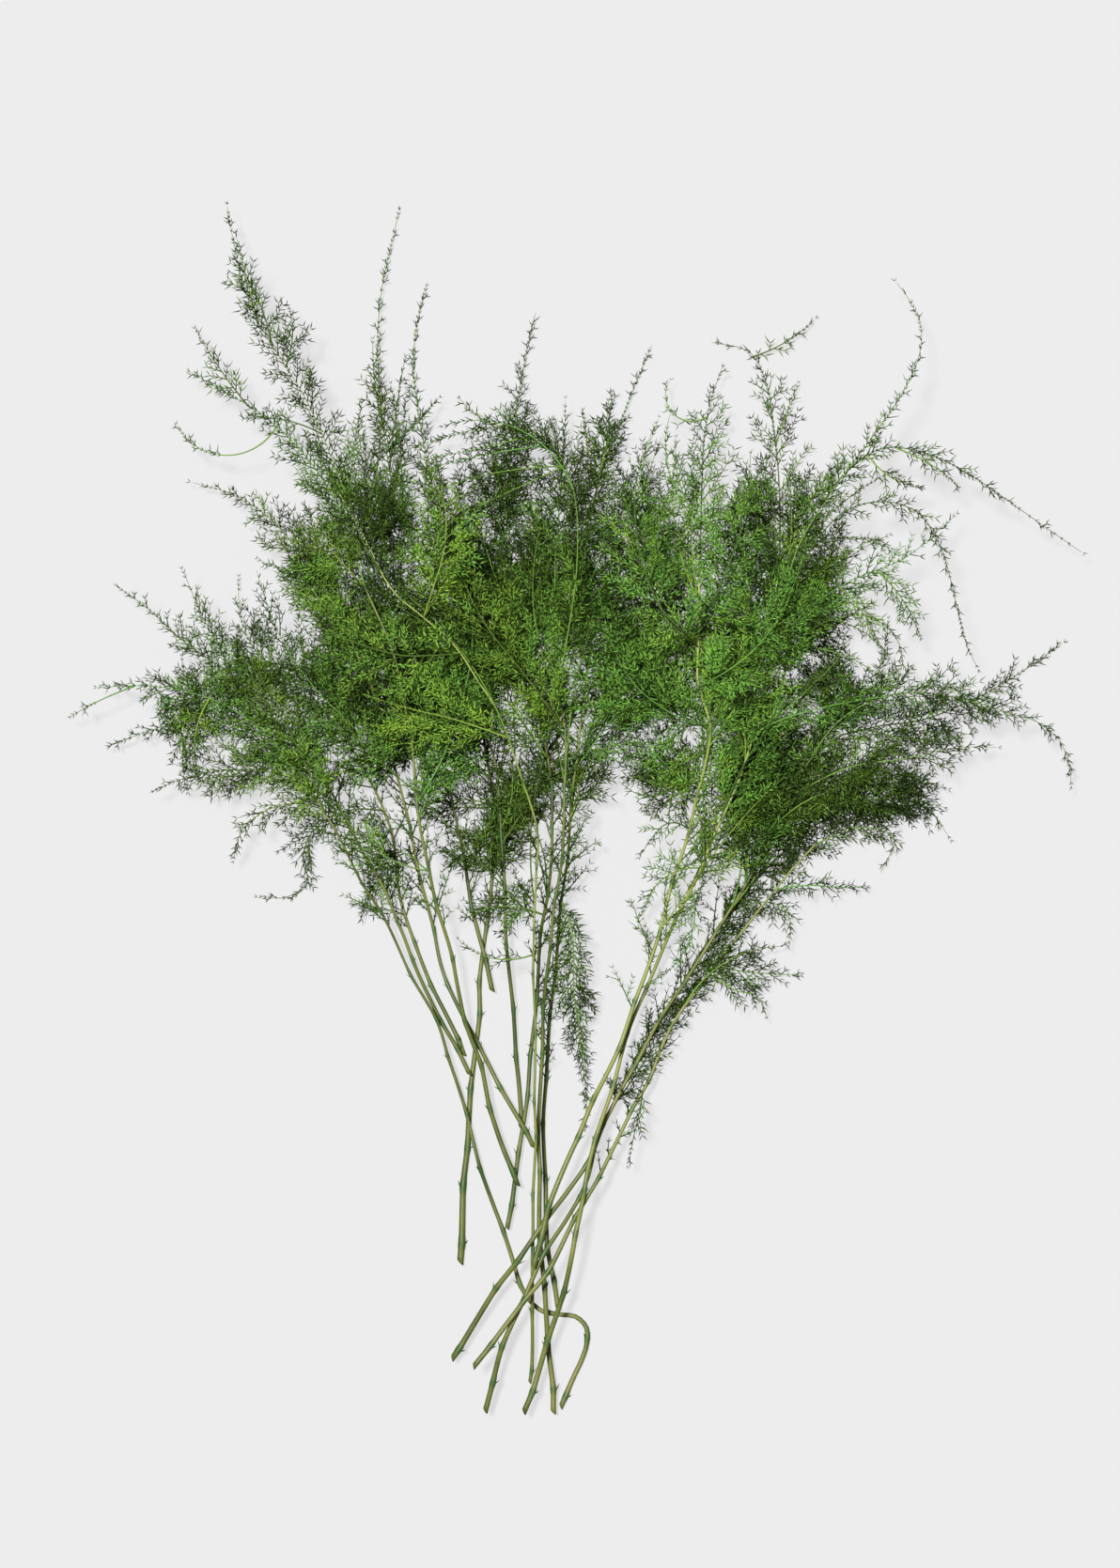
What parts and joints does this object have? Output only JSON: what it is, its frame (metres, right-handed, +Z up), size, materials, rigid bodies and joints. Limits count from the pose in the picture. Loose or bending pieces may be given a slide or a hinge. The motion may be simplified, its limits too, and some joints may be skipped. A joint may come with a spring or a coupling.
{
  "type": "asparagus fern",
  "caption": "Loose armful of cut asparagus fern lying flat: slim green canes fanning out into feathery, fine-needled side sprays.",
  "frame": {"origin": "centre of the bounding box in plan, on the surface that the fern lies on", "axes": "+Y runs along the stems from the cut butts to the feathery tops, +X across the fan to the right as seen from above, +Z up from the surface"},
  "size_m": [0.5226, 0.6402, 0.0645],
  "materials": {
    "cane": "smooth green living cane, semi-matt, with darker joints",
    "foliage": "fine green needles, matt with a slight waxy sheen"
  },
  "bodies": {
    "root": {"stem_01": "cane", "stem_01_spray_1": "foliage", "stem_01_spray_2": "foliage", "stem_02": "cane", "stem_02_spray_1": "foliage", "stem_03": "cane", "stem_03_spray_1": "foliage", "stem_03_spray_2": "foliage", "stem_04": "cane", "stem_04_spray_1": "foliage", "stem_04_spray_2": "foliage", "stem_05": "cane", "stem_05_spray_1": "foliage", "stem_05_spray_2": "foliage", "stem_06": "cane", "stem_06_spray_1": "foliage", "stem_07": "cane", "stem_07_spray_1": "foliage", "stem_08": "cane", "stem_08_spray_1": "foliage", "stem_09": "cane", "stem_09_spray_1": "foliage", "stem_10": "cane", "stem_10_spray_1": "foliage", "stem_10_spray_2": "foliage", "stem_11": "cane", "stem_11_spray_1": "foliage", "stem_11_spray_2": "foliage", "stem_12": "cane", "stem_12_spray_1": "foliage", "stem_12_spray_2": "foliage", "stem_12_spray_3": "foliage", "stem_12_spray_4": "foliage", "stem_13": "cane", "stem_13_spray_1": "foliage", "stem_13_spray_2": "foliage", "stem_13_spray_3": "foliage", "stem_14": "cane", "stem_14_spray_1": "foliage", "stem_14_spray_2": "foliage", "stem_14_spray_3": "foliage", "stem_15": "cane", "stem_15_spray_1": "foliage", "stem_15_spray_2": "foliage", "stem_15_spray_3": "foliage", "stem_15_spray_4": "foliage", "stem_16": "cane", "stem_16_spray_1": "foliage", "stem_16_spray_2": "foliage", "stem_16_spray_3": "foliage", "stem_16_spray_4": "foliage", "stem_16_spray_5": "foliage", "stem_16_spray_6": "foliage", "stem_17": "cane", "stem_17_spray_1": "foliage", "stem_17_spray_2": "foliage", "stem_17_spray_3": "foliage", "stem_17_spray_4": "foliage", "stem_17_spray_5": "foliage", "stem_17_spray_6": "foliage"}
  },
  "joints": []
}
